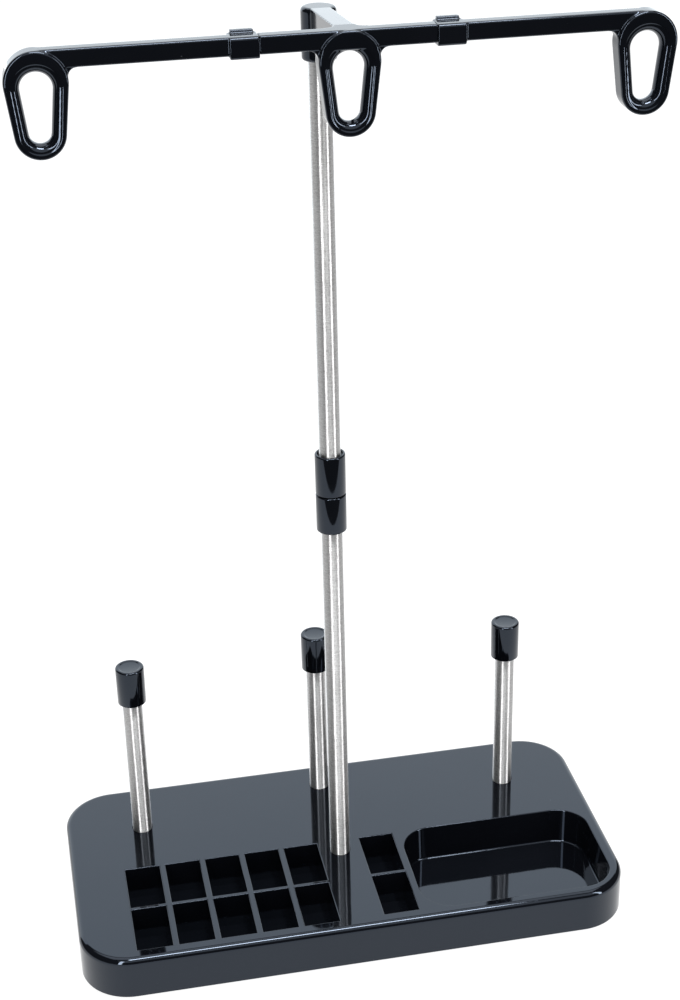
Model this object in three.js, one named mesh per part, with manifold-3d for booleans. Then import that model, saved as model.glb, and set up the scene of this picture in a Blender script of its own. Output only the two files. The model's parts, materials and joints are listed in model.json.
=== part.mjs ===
// Thread stand for three spools: a moulded base with bobbin pockets and an open tray, three steel
// spool pins with push-on caps, a steel pole in two lengths joined by a screw coupling, and a
// moulded thread guide with three loops on top of the pole.
//
// Millimetres, +Z up. The origin is the middle of the base's footprint, on the table.
// The front, with the pockets and the tray, faces -Y.

import * as THREE from 'three';
import { mergeVertices } from 'three/addons/utils/BufferGeometryUtils.js';
import Module from 'manifold-3d';

const wasm = await Module();
wasm.setup();

// ---------------------------------------------------------------- driving dimensions

const GAP = 0.3;                     // clearance kept between pieces that touch
const SMALL_SIDES = 18;              // facets round screws, washers and other small turned pieces

const BASE = { width: 203.6, depth: 103.8, bottom: 1.0, top: 17.4, corner: 18.5, edge: 2.4 };
const WALL = 2.0;                    // skirt and top plate
const FOOT = { x: 90, y: 37, radius: 6, thickness: 1.5 };

const POCKET = { width: 12.8, depth: 22.4, sink: 13.2, wall: 1.5, floor: 1.6 };
const POCKET_PITCH_X = 15.2;         // column to column
const POCKET_PITCH_Y = 24.0;         // row to row
const POCKETS_LEFT = -81.8;          // left edge of the first column
const POCKETS_BACK = 0.1;            // back edge of the rear row
const LEFT_COLUMNS = 5;              // columns left of the pole
const RIGHT_COLUMN_X = 8.45;         // left edge of the one column right of the pole

const TRAY = { x: 60.55, y: -23.2, width: 72.9, depth: 47.6, corner: 12, sink: 14.2, wall: 1.5, floor: 1.4 };

const TUBE = { radius: 3.7, wall: 0.6 };   // one steel tube stock for the pole and the pins
const POLE_Y = -5.0;                 // the pole stands a little forward of the middle
const PIN_X = 72.6;                  // outer pins, either side of the middle
const PIN_Y = 25.9;
const MIDDLE_PIN_Y = 38.7;
const SOCKET_FLOOR = 7.8;            // height of the floor that each tube stands on
const BOSS = { radius: 7, bottom: 4.8 };
const SCREW = { shank: 2.0, head: 3.7, headHeight: 2.2, washer: 4.5, washerThickness: 0.8, length: 12 };

const CAP = { radius: 5.35, length: 15, bore: TUBE.radius + GAP, roof: 2 };
const CAP_TOP = { left: BASE.top + 73.3, middle: BASE.top + 70.4, right: BASE.top + 73.3 };

const COUPLING = { radius: 5.32, bottom: BASE.top + 138.5, joint: BASE.top + 152.6, top: BASE.top + 167.8 };
const SPIGOT = { radius: 4.35, length: 7, bore: 3.1 };
const THREAD_PITCH = 1.5;

const HEAD_TOP = BASE.top + 322.6;   // level of the crossbar's top
const HUB = { radius: 5.6, top: BASE.top + 319.5, length: 16.5, bore: TUBE.radius + GAP, socket: 12.5 };
const HUB_BOTTOM = HUB.top - HUB.length;
const BAR = { height: 5.4, front: -53.8, back: -48.7, edge: 0.7 };
const ARM = { width: 6.4, rootHeight: 10, flare: 3.2 };
const PLUG = { inner: 25.5, outer: 34.3, drop: 1.0, proud: 0.45, tabRise: 0.9, tabDepth: 2.6 };
const LOOP_SPACING = 88.9;           // middle loop to side loop
const LOOP_DEPTH = 6.8;              // front to back
const LOOP_Y = (BAR.front + BAR.back) / 2;
const LOOP_RIM = { topCentre: -9.15, topRadius: 9.15, bottomCentre: -23.45, bottomRadius: 7.4 };
const LOOP_HOLE = { topCentre: -10.85, topRadius: 4.6, bottomCentre: -23.45, bottomRadius: 3.2 };
const LOOP_LIP = 2.5;                // width of the rounded lip round the hole

// ---------------------------------------------------------------- finishes

const BLACK_PLASTIC = { color: 0x0c0e12, roughness: 0.12, metalness: 0 };
const STEEL_TUBE = { color: 0xb9bcc0, roughness: 0.3, metalness: 1 };
const ZINC_STEEL = { color: 0x9ea2a6, roughness: 0.4, metalness: 1 };
const GREY_NYLON = { color: 0x6d7074, roughness: 0.5, metalness: 0 };
const RUBBER = { color: 0x17181a, roughness: 0.85, metalness: 0 };

// ---------------------------------------------------------------- geometry helpers

// Every piece is built as a closed solid, so that it can be joined to others and cut.
function solidOf(geometry) {
  const bare = new THREE.BufferGeometry();
  bare.setAttribute('position', geometry.getAttribute('position').clone());
  if (geometry.index) bare.setIndex(geometry.index.clone());
  const merged = mergeVertices(bare, 1e-4);
  const vertProperties = new Float32Array(merged.getAttribute('position').array);
  const triVerts = withoutSlivers(merged.index.array);
  if (signedVolume(vertProperties, triVerts) < 0) turnInsideOut(triVerts);
  return new wasm.Manifold(new wasm.Mesh({ numProp: 3, vertProperties, triVerts }));
}

function withoutSlivers(index) {
  const kept = [];
  for (let i = 0; i < index.length; i += 3) {
    const [a, b, c] = [index[i], index[i + 1], index[i + 2]];
    if (a !== b && b !== c && c !== a) kept.push(a, b, c);
  }
  return new Uint32Array(kept);
}

function signedVolume(points, index) {
  const a = new THREE.Vector3();
  const b = new THREE.Vector3();
  const c = new THREE.Vector3();
  let volume = 0;
  for (let i = 0; i < index.length; i += 3) {
    a.fromArray(points, 3 * index[i]);
    b.fromArray(points, 3 * index[i + 1]);
    c.fromArray(points, 3 * index[i + 2]);
    volume += a.dot(b.cross(c)) / 6;
  }
  return volume;
}

function turnInsideOut(index) {
  for (let i = 0; i < index.length; i += 3) {
    const first = index[i];
    index[i] = index[i + 1];
    index[i + 1] = first;
  }
}

function geometryOf(solid) {
  const mesh = solid.getMesh();
  const geometry = new THREE.BufferGeometry();
  geometry.setAttribute('position', new THREE.BufferAttribute(mesh.vertProperties, 3));
  geometry.setIndex(new THREE.BufferAttribute(mesh.triVerts, 1));
  geometry.computeVertexNormals();
  return geometry;
}

const joined = (...solids) => solids.reduce((whole, next) => whole.add(next));
const cutBy = (solid, ...cutters) => cutters.reduce((whole, next) => whole.subtract(next), solid);

function box(x0, x1, y0, y1, z0, z1) {
  const geometry = new THREE.BoxGeometry(x1 - x0, y1 - y0, z1 - z0);
  geometry.translate((x0 + x1) / 2, (y0 + y1) / 2, (z0 + z1) / 2);
  return solidOf(geometry);
}

// A round bar about a vertical axis.
function post(x, y, radius, z0, z1, sides = 28) {
  const geometry = new THREE.CylinderGeometry(radius, radius, z1 - z0, sides);
  geometry.rotateX(Math.PI / 2);
  geometry.translate(x, y, (z0 + z1) / 2);
  return solidOf(geometry);
}

// A turned piece about a vertical axis: profile points are [radius, height], and close on themselves.
function turned(x, y, profile, sides = 28) {
  const points = [...profile, profile[0]].map(([radius, height]) => new THREE.Vector2(radius, height));
  const geometry = new THREE.LatheGeometry(points, sides);
  geometry.rotateX(Math.PI / 2);
  geometry.translate(x, y, 0);
  return solidOf(geometry);
}

function tube(x, y, z0, z1, outer, inner, sides = 28) {
  return turned(x, y, [[inner, z0], [outer, z0], [outer, z1], [inner, z1]], sides);
}

function roundedRectangle(width, depth, radius) {
  const [w, d, quarter] = [width / 2 - radius, depth / 2 - radius, Math.PI / 2];
  const shape = new THREE.Shape();
  shape.absarc(w, d, radius, 0, quarter);
  shape.absarc(-w, d, radius, quarter, 2 * quarter);
  shape.absarc(-w, -d, radius, 2 * quarter, 3 * quarter);
  shape.absarc(w, -d, radius, 3 * quarter, 4 * quarter);
  shape.closePath();
  return shape;
}

// An upright block of rounded plan between two heights, with its upper or lower edge rounded off.
function roundedBlock(plan, z0, z1, { topEdge = 0, bottomEdge = 0, segments = 3 } = {}) {
  const edge = topEdge || bottomEdge;
  const start = topEdge ? z0 - 2 * edge : z0;
  const end = bottomEdge ? z1 + 2 * edge : z1;
  const inner = roundedRectangle(plan.width - 2 * edge, plan.depth - 2 * edge, plan.corner - edge);
  const geometry = new THREE.ExtrudeGeometry(inner, {
    depth: end - start - 2 * edge,
    bevelEnabled: edge > 0,
    bevelThickness: edge,
    bevelSize: edge,
    bevelSegments: segments,
    curveSegments: 7,
  });
  geometry.translate(plan.x ?? 0, plan.y ?? 0, start + edge);
  const [w, d] = [plan.width, plan.depth];
  const keep = box((plan.x ?? 0) - w, (plan.x ?? 0) + w, (plan.y ?? 0) - d, (plan.y ?? 0) + d, z0, z1);
  return solidOf(geometry).intersect(keep);
}

// A flat shape drawn in X and Z, given thickness along Y from y0 to y1.
function upright(shape, y0, y1) {
  const geometry = new THREE.ExtrudeGeometry(shape, { depth: y1 - y0, bevelEnabled: false, curveSegments: 6 });
  geometry.rotateX(Math.PI / 2);
  geometry.translate(0, y1, 0);
  return solidOf(geometry);
}

// A bar along X whose section in Y and Z is a rectangle with rounded edges.
function crossbar(x0, x1, section) {
  const [depth, height] = [section.back - section.front, section.top - section.bottom];
  const shape = roundedRectangle(height, depth, section.edge);
  const geometry = new THREE.ExtrudeGeometry(shape, { depth: x1 - x0, bevelEnabled: false, curveSegments: 3 });
  geometry.rotateY(Math.PI / 2);
  geometry.translate(x0, (section.front + section.back) / 2, (section.top + section.bottom) / 2);
  return solidOf(geometry);
}

function piece(name, solid, finish) {
  const mesh = new THREE.Mesh(geometryOf(solid), new THREE.MeshStandardMaterial(finish));
  mesh.name = name;
  return mesh;
}

// ---------------------------------------------------------------- base

const rods = {
  pole: [0, POLE_Y],
  left: [-PIN_X, PIN_Y],
  middle: [0, MIDDLE_PIN_Y],
  right: [PIN_X, PIN_Y],
};

function pocketCorners() {
  const columns = Array.from({ length: LEFT_COLUMNS }, (_, i) => POCKETS_LEFT + i * POCKET_PITCH_X);
  const rows = [POCKETS_BACK - POCKET.depth, POCKETS_BACK - POCKET.depth - POCKET_PITCH_Y];
  return [...columns, RIGHT_COLUMN_X].flatMap((x) => rows.map((y) => [x, y]));
}

// Upright webs under the top plate brace the rear half between the pin bosses.
function stiffeningRibs() {
  const [half, ribBottom, ribTop] = [0.8, 6.5, BASE.top - WALL / 2];
  const inner = BASE.width / 2 - WALL / 2;
  const back = BASE.depth / 2 - WALL / 2;
  return [
    box(-inner, inner, PIN_Y - half, PIN_Y + half, ribBottom, ribTop),
    box(-half, half, POLE_Y, back, ribBottom, ribTop),
    box(-PIN_X - half, -PIN_X + half, 0, back, ribBottom, ribTop),
    box(PIN_X - half, PIN_X + half, 0, back, ribBottom, ribTop),
  ];
}

function baseShell() {
  const outside = roundedBlock(BASE, BASE.bottom, BASE.top, { topEdge: BASE.edge });
  const inside = {
    width: BASE.width - 2 * WALL,
    depth: BASE.depth - 2 * WALL,
    corner: BASE.corner - WALL,
  };
  const hollow = roundedBlock(inside, BASE.bottom - 1, BASE.top - WALL, {});

  const pockets = pocketCorners();
  const [wall, under] = [POCKET.wall, BASE.top - POCKET.sink - POCKET.floor];
  const plateMiddle = BASE.top - WALL / 2;
  const pocketWalls = pockets.map(([x, y]) =>
    box(x - wall, x + POCKET.width + wall, y - wall, y + POCKET.depth + wall, under, plateMiddle));
  const pocketHollows = pockets.map(([x, y]) =>
    box(x, x + POCKET.width, y, y + POCKET.depth, BASE.top - POCKET.sink, BASE.top + 1));

  const trayOutside = {
    ...TRAY,
    width: TRAY.width + 2 * TRAY.wall,
    depth: TRAY.depth + 2 * TRAY.wall,
    corner: TRAY.corner + TRAY.wall,
  };
  const trayFloor = BASE.top - TRAY.sink;
  const trayWalls = roundedBlock(trayOutside, trayFloor - TRAY.floor, plateMiddle);
  const trayHollow = roundedBlock(TRAY, trayFloor, BASE.top + 1, { bottomEdge: 0.8, segments: 2 });

  const bosses = Object.values(rods).map(([x, y]) => post(x, y, BOSS.radius, BOSS.bottom, plateMiddle));
  const footPosts = [[-1, 1], [1, 1], [-1, -1]].map(([sx, sy]) =>
    post(sx * FOOT.x, sy * FOOT.y, FOOT.radius + 0.5, FOOT.thickness + GAP, plateMiddle));

  const sockets = Object.values(rods).map(([x, y]) =>
    post(x, y, TUBE.radius + GAP, SOCKET_FLOOR, BASE.top + 1));
  const screwHoles = Object.values(rods).map(([x, y]) =>
    post(x, y, SCREW.shank + GAP, BOSS.bottom - 1, SOCKET_FLOOR + 1, SMALL_SIDES));

  const shell = joined(cutBy(outside, hollow), ...stiffeningRibs(), ...pocketWalls, trayWalls, ...bosses, ...footPosts);
  return cutBy(shell, ...pocketHollows, trayHollow, ...sockets, ...screwHoles);
}

function rubberFoot(sx, sy) {
  const { radius, thickness } = FOOT;
  return turned(sx * FOOT.x, sy * FOOT.y, [
    [0, 0], [radius - 0.4, 0], [radius, 0.4], [radius, thickness], [0, thickness],
  ], SMALL_SIDES);
}

// ---------------------------------------------------------------- rods and how they are fastened

function tubeBetween([x, y], z0, z1) {
  return tube(x, y, z0, z1, TUBE.radius, TUBE.radius - TUBE.wall);
}

// A threaded nylon plug inside the foot of a tube, drawn down by a screw from under the base.
function footPlug([x, y]) {
  const z0 = SOCKET_FLOOR + 2 * GAP;
  return tube(x, y, z0, z0 + 12, TUBE.radius - TUBE.wall - GAP, SCREW.shank + GAP, SMALL_SIDES);
}

function footWasher([x, y]) {
  const z1 = BOSS.bottom - GAP;
  return tube(x, y, z1 - SCREW.washerThickness, z1, SCREW.washer, SCREW.shank + GAP, SMALL_SIDES);
}

function footScrew([x, y]) {
  const headTop = BOSS.bottom - 2 * GAP - SCREW.washerThickness;
  const headBottom = headTop - SCREW.headHeight;
  const { head, shank, length } = SCREW;
  const body = turned(x, y, [
    [0, headBottom], [head - 1.2, headBottom], [head - 0.3, headBottom + 0.6], [head, headBottom + 1.2],
    [head, headTop], [shank, headTop], [shank, headTop + length - 1], [shank - 0.8, headTop + length],
    [0, headTop + length],
  ], SMALL_SIDES);
  const [arm, half, deep] = [2.2, 0.45, headBottom + 1.1];
  const cross = joined(
    box(x - arm, x + arm, y - half, y + half, headBottom - 1, deep),
    box(x - half, x + half, y - arm, y + arm, headBottom - 1, deep),
  );
  return body.subtract(cross);
}

// A push-on cap: shallow dish on top, rounded rim, blind bore for the tube.
function pinCap([x, y], top) {
  const { radius, bore, roof } = CAP;
  const bottom = top - CAP.length;
  return turned(x, y, [
    [bore, bottom], [radius - 0.3, bottom], [radius, bottom + 0.3], [radius, top - 0.7],
    [radius - 0.2, top - 0.2], [radius - 0.7, top], [radius - 1.2, top], [radius - 1.6, top - 0.2],
    [0, top - 0.2], [0, top - roof], [bore, top - roof],
  ], 28);
}

// ---------------------------------------------------------------- screw coupling of the pole

// Lower half: a sleeve on the lower tube that ends in a threaded spigot.
function lowerCollar([x, y]) {
  const { radius, bottom, joint } = COUPLING;
  const bore = TUBE.radius + GAP;
  const tubeStop = joint - 4.8;
  const neck = joint - 0.15;
  const tip = neck + SPIGOT.length;
  const crests = threadCrests(SPIGOT.radius, neck + 1.2, tip - 0.6);
  return turned(x, y, [
    [bore, bottom], [radius - 0.6, bottom], [radius, bottom + 0.6], [radius, neck - 0.4],
    [radius - 0.4, neck], [SPIGOT.radius - 0.3, neck], ...crests, [SPIGOT.radius - 0.5, tip],
    [SPIGOT.bore, tip], [SPIGOT.bore, tubeStop], [bore, tubeStop],
  ], 28);
}

function threadCrests(radius, z0, z1) {
  const turns = Math.floor((z1 - z0) / THREAD_PITCH);
  const root = radius - 0.3;
  return Array.from({ length: turns }, (_, i) => z0 + i * THREAD_PITCH).flatMap((z) => [
    [root, z], [radius, z + 0.4], [radius, z + 0.7], [root, z + 1.1],
  ]);
}

// Upper half: a captive nut that turns on the upper pole and pulls its flanged end down.
function couplingNut([x, y]) {
  const { radius, joint, top } = COUPLING;
  const bottom = joint + 0.15;
  const thread = SPIGOT.radius + GAP;
  const flange = top - 5.2;
  return turned(x, y, [
    [thread, bottom], [radius - 0.4, bottom], [radius, bottom + 0.4], [radius, top - 0.8],
    [radius - 0.5, top], [radius - 0.9, top], [radius - 1.2, top - 1.0], [TUBE.radius + GAP, top - 1.0],
    [TUBE.radius + GAP, flange], [thread, flange],
  ], 28);
}

// The flanged plug in the foot of the upper tube; its lower end is a dowel inside the spigot.
function upperPlug([x, y]) {
  const dowel = TUBE.radius - TUBE.wall - GAP;
  const flangeTop = COUPLING.top - 5.2 - GAP;
  const flangeBottom = flangeTop - 2.0;
  return turned(x, y, [
    [0, flangeBottom - 9.5], [dowel - 0.6, flangeBottom - 9.5], [dowel, flangeBottom - 8.9], [dowel, flangeBottom],
    [SPIGOT.radius, flangeBottom], [SPIGOT.radius, flangeTop], [dowel, flangeTop],
    [dowel, flangeTop + 12], [0, flangeTop + 12],
  ], SMALL_SIDES);
}

// ---------------------------------------------------------------- thread guide

// A loop's rim and its hole each follow two arcs joined by tapering sides.
function loopOutline({ topCentre, topRadius, bottomCentre, bottomRadius }) {
  const taper = Math.asin((topRadius - bottomRadius) / (topCentre - bottomCentre));
  const arcs = [
    { centre: topCentre, radius: topRadius, from: -taper, to: Math.PI + taper, steps: 14 },
    { centre: bottomCentre, radius: bottomRadius, from: Math.PI + taper, to: 2 * Math.PI - taper, steps: 10 },
  ];
  return arcs.flatMap(({ centre, radius, from, to, steps }) =>
    Array.from({ length: steps + 1 }, (_, i) => {
      const angle = from + (to - from) * i / steps;
      return new THREE.Vector2(radius * Math.cos(angle), centre + radius * Math.sin(angle));
    }));
}

// The band's section from the hole outwards, as [distance from the hole, depth]: a bullnose lip for
// the thread to run over, then flat faces out to the rim's rounded edges.
function bandSection(width) {
  const [half, edge] = [LOOP_DEPTH / 2, 0.8];
  const shape = new THREE.Shape();
  shape.moveTo(LOOP_LIP, -half);
  shape.lineTo(width - edge, -half);
  shape.absarc(width - edge, -half + edge, edge, -Math.PI / 2, 0);
  shape.absarc(width - edge, half - edge, edge, 0, Math.PI / 2);
  shape.lineTo(LOOP_LIP, half);
  shape.absellipse(LOOP_LIP, 0, LOOP_LIP, half - 0.15, Math.PI / 2, 3 * Math.PI / 2);
  const points = shape.getPoints(3);
  return points.filter((point, i) => point.distanceTo(points[(i + 1) % points.length]) > 1e-4);
}

function loopRing(x) {
  const rim = loopOutline(LOOP_RIM);
  const positions = [];
  let corners = 0;
  loopOutline(LOOP_HOLE).forEach((hole, i) => {
    const across = rim[i].clone().sub(hole);
    const outward = across.clone().normalize();
    const section = bandSection(across.length());
    corners = section.length;
    for (const { x: out, y: depth } of section) {
      positions.push(x + hole.x + outward.x * out, LOOP_Y + depth, HEAD_TOP + hole.y + outward.y * out);
    }
  });
  const index = [];
  const [n, m] = [rim.length, corners];
  for (let i = 0; i < n; i += 1) {
    for (let j = 0; j < m; j += 1) {
      const [i2, j2] = [(i + 1) % n, (j + 1) % m];
      const [a, b, c, d] = [i * m + j, i2 * m + j, i2 * m + j2, i * m + j2];
      index.push(a, b, c, a, c, d);
    }
  }
  const geometry = new THREE.BufferGeometry();
  geometry.setAttribute('position', new THREE.Float32BufferAttribute(positions, 3));
  geometry.setIndex(index);
  return solidOf(geometry);
}

// The whole of a loop within its rim, or inset from the rim, without the hole.
function loopDisc(x, inset = 0) {
  const { topRadius, bottomRadius } = LOOP_RIM;
  const rim = loopOutline({ ...LOOP_RIM, topRadius: topRadius - inset, bottomRadius: bottomRadius - inset });
  const outline = rim.map((point) => new THREE.Vector2(x + point.x, HEAD_TOP + point.y));
  return upright(new THREE.Shape(outline), LOOP_Y - LOOP_DEPTH / 2, LOOP_Y + LOOP_DEPTH / 2);
}

// The crossbar carries on through the middle loop at the loop's own depth.
function loopBridge(x) {
  const edge = 0.8;
  const half = LOOP_RIM.topRadius + 1;
  const bridge = crossbar(x - half, x + half, {
    front: LOOP_Y - LOOP_DEPTH / 2,
    back: LOOP_Y + LOOP_DEPTH / 2,
    top: HEAD_TOP,
    bottom: HEAD_TOP - BAR.height - 0.2,
    edge,
  });
  return bridge.intersect(loopDisc(x));
}

// A concave web in the corner between the bar's underside and a loop's outer edge.
function loopFillet(x, side) {
  const radius = 2.6;
  const outer = LOOP_RIM.topRadius;
  const centreDrop = BAR.height + radius;
  const centreX = Math.sqrt((outer + radius) ** 2 - (centreDrop + LOOP_RIM.topCentre) ** 2);
  const [under, top] = [HEAD_TOP - BAR.height, HEAD_TOP + LOOP_RIM.topCentre];
  const reach = outer / (outer + radius);
  const touch = new THREE.Vector2(centreX * reach, top - (centreDrop + LOOP_RIM.topCentre) * reach);
  const toRing = Math.atan2(touch.y - (HEAD_TOP - centreDrop), touch.x - centreX);
  const shape = new THREE.Shape();
  shape.moveTo(outer - 1.6, under + 0.6);
  shape.lineTo(centreX, under + 0.6);
  shape.absarc(centreX, HEAD_TOP - centreDrop, radius, Math.PI / 2, toRing, false);
  shape.lineTo(outer - 1.6, touch.y);
  const points = shape.getPoints(5).map(({ x: px, y: pz }) => new THREE.Vector2(x + side * px, pz));
  return upright(new THREE.Shape(points), BAR.front + 0.3, BAR.back - 0.3);
}

const barSection = {
  front: BAR.front,
  back: BAR.back,
  top: HEAD_TOP,
  bottom: HEAD_TOP - BAR.height,
  edge: BAR.edge,
};

const tongueSection = {
  front: BAR.front + 1.2,
  back: BAR.back - 1.2,
  top: HEAD_TOP - 1.2,
  bottom: HEAD_TOP - BAR.height + 1.2,
  edge: 0.3,
};

// The arm rises slightly from the hub to the bar. It is deep at the hub and flares where it meets the bar.
function hubArm() {
  const [half, root, under] = [ARM.width / 2, POLE_Y - HUB.radius + 2, HEAD_TOP - BAR.height];
  const side = new THREE.Shape();
  side.moveTo(root, HUB.top - ARM.rootHeight);
  side.lineTo(root, HUB.top);
  side.lineTo(BAR.back - 1, HEAD_TOP);
  side.lineTo(BAR.back - 1, under);
  side.lineTo(BAR.back + 6, under);
  const geometry = new THREE.ExtrudeGeometry(side, { depth: ARM.width, bevelEnabled: false });
  geometry.rotateX(Math.PI / 2);
  geometry.rotateZ(Math.PI / 2);
  geometry.translate(-half, 0, 0);

  const plan = new THREE.Shape();
  const { flare } = ARM;
  plan.moveTo(-half - flare, BAR.back - 1);
  plan.lineTo(half + flare, BAR.back - 1);
  plan.lineTo(half + flare, BAR.back);
  plan.absarc(half + flare, BAR.back + flare, flare, -Math.PI / 2, -Math.PI, true);
  plan.lineTo(-half, BAR.back + flare);
  plan.absarc(-half - flare, BAR.back + flare, flare, 0, -Math.PI / 2, true);
  plan.closePath();
  const flareGeometry = new THREE.ExtrudeGeometry(plan, { depth: BAR.height, bevelEnabled: false, curveSegments: 5 });
  flareGeometry.translate(0, 0, under);
  return joined(solidOf(geometry), solidOf(flareGeometry));
}

function hubBody() {
  const { radius, top } = HUB;
  return turned(0, POLE_Y, [
    [0, HUB_BOTTOM], [radius - 0.9, HUB_BOTTOM], [radius, HUB_BOTTOM + 1.2], [radius, top - 1.4],
    [radius - 0.4, top - 0.5], [radius - 1.3, top], [0, top],
  ], 28);
}

function guideHead() {
  const centreBar = crossbar(-PLUG.inner, PLUG.inner, barSection);
  const tongues = crossbar(-PLUG.outer + 1.5, PLUG.outer - 1.5, tongueSection);
  const loop = joined(loopRing(0), loopBridge(0), loopFillet(0, -1), loopFillet(0, 1));
  const body = joined(hubBody(), hubArm(), centreBar, tongues, loop);
  return body.subtract(post(0, POLE_Y, HUB.bore, HUB_BOTTOM - 1, HUB_BOTTOM + HUB.socket));
}

// A side arm: a socket that takes the head's tongue, a length of bar, and a loop at its end.
function sideArm(side) {
  const span = (a, b, section) => crossbar(Math.min(side * a, side * b), Math.max(side * a, side * b), section);
  const socketSection = {
    front: BAR.front - PLUG.proud,
    back: BAR.back + PLUG.tabDepth,
    top: HEAD_TOP,
    bottom: HEAD_TOP - BAR.height - PLUG.drop,
    edge: 1.1,
  };
  const tabSection = {
    front: BAR.back + 0.3,
    back: BAR.back + PLUG.tabDepth,
    top: HEAD_TOP + PLUG.tabRise,
    bottom: HEAD_TOP - 2,
    edge: 0.4,
  };
  const hollowSection = {
    front: tongueSection.front - GAP,
    back: tongueSection.back + GAP,
    top: tongueSection.top + GAP,
    bottom: tongueSection.bottom - GAP,
    edge: 0.3,
  };
  const mouth = PLUG.inner + GAP;
  const socket = joined(span(mouth, PLUG.outer, socketSection), span(mouth + 0.9, PLUG.outer - 0.9, tabSection));
  const bar = cutBy(span(PLUG.outer - 1, LOOP_SPACING, barSection), loopDisc(side * LOOP_SPACING, 1));
  const arm = joined(socket, bar, loopRing(side * LOOP_SPACING), loopFillet(side * LOOP_SPACING, -side));
  return arm.subtract(span(mouth - 1, PLUG.outer - 1.5 + GAP, hollowSection));
}

// ---------------------------------------------------------------- assembly

const stand = new THREE.Group();
stand.add(piece('base_shell', baseShell(), BLACK_PLASTIC));
for (const [name, sx, sy] of [['front_left', -1, -1], ['front_right', 1, -1], ['rear_left', -1, 1], ['rear_right', 1, 1]]) {
  stand.add(piece(`rubber_foot_${name}`, rubberFoot(sx, sy), RUBBER));
}

const tubeFoot = SOCKET_FLOOR + GAP;
for (const [name, at] of Object.entries(rods)) {
  const rod = name === 'pole' ? 'pole' : `${name}_pin`;
  stand.add(piece(`${rod}_foot_plug`, footPlug(at), GREY_NYLON));
  stand.add(piece(`${rod}_foot_washer`, footWasher(at), ZINC_STEEL));
  stand.add(piece(`${rod}_foot_screw`, footScrew(at), ZINC_STEEL));
}
for (const name of ['left', 'middle', 'right']) {
  stand.add(piece(`${name}_pin_tube`, tubeBetween(rods[name], tubeFoot, CAP_TOP[name] - CAP.roof - GAP), STEEL_TUBE));
  stand.add(piece(`${name}_pin_cap`, pinCap(rods[name], CAP_TOP[name]), BLACK_PLASTIC));
}

const lowerTubeTop = COUPLING.joint - 4.8 - GAP;
const upperTubeFoot = COUPLING.top - 5.2;
const upperTubeTop = HUB_BOTTOM + HUB.socket - GAP;
stand.add(piece('pole_lower_tube', tubeBetween(rods.pole, tubeFoot, lowerTubeTop), STEEL_TUBE));
stand.add(piece('pole_lower_collar', lowerCollar(rods.pole), BLACK_PLASTIC));
stand.add(piece('pole_coupling_nut', couplingNut(rods.pole), BLACK_PLASTIC));
stand.add(piece('pole_upper_plug', upperPlug(rods.pole), GREY_NYLON));
stand.add(piece('pole_upper_tube', tubeBetween(rods.pole, upperTubeFoot, upperTubeTop), STEEL_TUBE));

stand.add(piece('guide_head', guideHead(), BLACK_PLASTIC));
stand.add(piece('guide_arm_left', sideArm(-1), BLACK_PLASTIC));
stand.add(piece('guide_arm_right', sideArm(1), BLACK_PLASTIC));

export default stand;
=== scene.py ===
"""Looks of the three-spool thread stand: fine meshes, finishes, studio and camera.

Lengths are in millimetres until an object is made. The front of the stand faces -Y.
"""
import json
import math

import bmesh
import bpy
from mathutils import Matrix, Vector


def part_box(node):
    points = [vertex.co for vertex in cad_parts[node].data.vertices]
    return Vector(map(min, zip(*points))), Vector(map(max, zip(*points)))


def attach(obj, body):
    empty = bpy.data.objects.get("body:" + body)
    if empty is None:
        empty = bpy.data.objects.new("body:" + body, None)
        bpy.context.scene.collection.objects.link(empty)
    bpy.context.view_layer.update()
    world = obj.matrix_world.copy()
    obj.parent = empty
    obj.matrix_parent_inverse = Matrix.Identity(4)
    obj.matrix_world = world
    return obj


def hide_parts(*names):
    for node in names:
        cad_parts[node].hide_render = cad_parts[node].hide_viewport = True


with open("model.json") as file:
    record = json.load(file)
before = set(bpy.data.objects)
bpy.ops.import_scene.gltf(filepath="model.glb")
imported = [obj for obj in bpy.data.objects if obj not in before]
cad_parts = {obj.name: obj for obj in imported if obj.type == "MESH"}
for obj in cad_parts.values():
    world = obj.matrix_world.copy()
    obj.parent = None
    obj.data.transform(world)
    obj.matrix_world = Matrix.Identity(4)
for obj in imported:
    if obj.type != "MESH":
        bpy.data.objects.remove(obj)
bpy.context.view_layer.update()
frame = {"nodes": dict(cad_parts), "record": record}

MM = 0.001
SAME_POINT = 1e-7                        # metres; closer points are merged

# ------------------------------------------------------------------ dimensions

GAP = 0.3                                # clearance between pieces that touch
BASE_CORNER, BASE_EDGE, BASE_WALL = 18.5, 2.4, 2.0
POCKET_WALL, POCKET_FLOOR, POCKET_DRAFT = 1.5, 1.6, 0.25
OPENING_MARGIN = 0.2                     # the record's pocket boxes stand this far inside the pockets
TRAY_WIDTH, TRAY_DEPTH, TRAY_CORNER, TRAY_SINK = 72.9, 47.6, 12.0, 14.2
TRAY_WALL, TRAY_FLOOR, TRAY_FILLET, TRAY_DRAFT = 1.5, 1.4, 0.8, 0.6
SOCKET_FLOOR, BOSS_RADIUS, BOSS_BOTTOM = 7.8, 7.0, 4.8
SCREW_HOLE = 2.3
RIM_ROUND = 0.45                         # rims of the pockets and the tray
BASE_FOOT = 0.4                          # round of the base's lower edge
TRAY_OUTER_FILLET = 0.9
RIB_HALF, RIB_BOTTOM = 0.8, 6.5
FOOT_POST_MARGIN = 0.5
FOOT_EDGE, FOOT_DISH = 0.45, 0.18
FOOT_DISH_INNER, FOOT_DISH_OUTER = 0.45, 0.55   # shares of the foot's radius
CUT_OVER = 1.0                           # how far a cutting body runs past what it cuts
TUBE_WALL, TUBE_CHAMFER = 0.6, 0.12
CAP_ROOF, CAP_RIM, CAP_DISH, CAP_FOOT, CAP_LEDGE = 2.0, 0.7, 0.2, 0.25, 0.5
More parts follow.
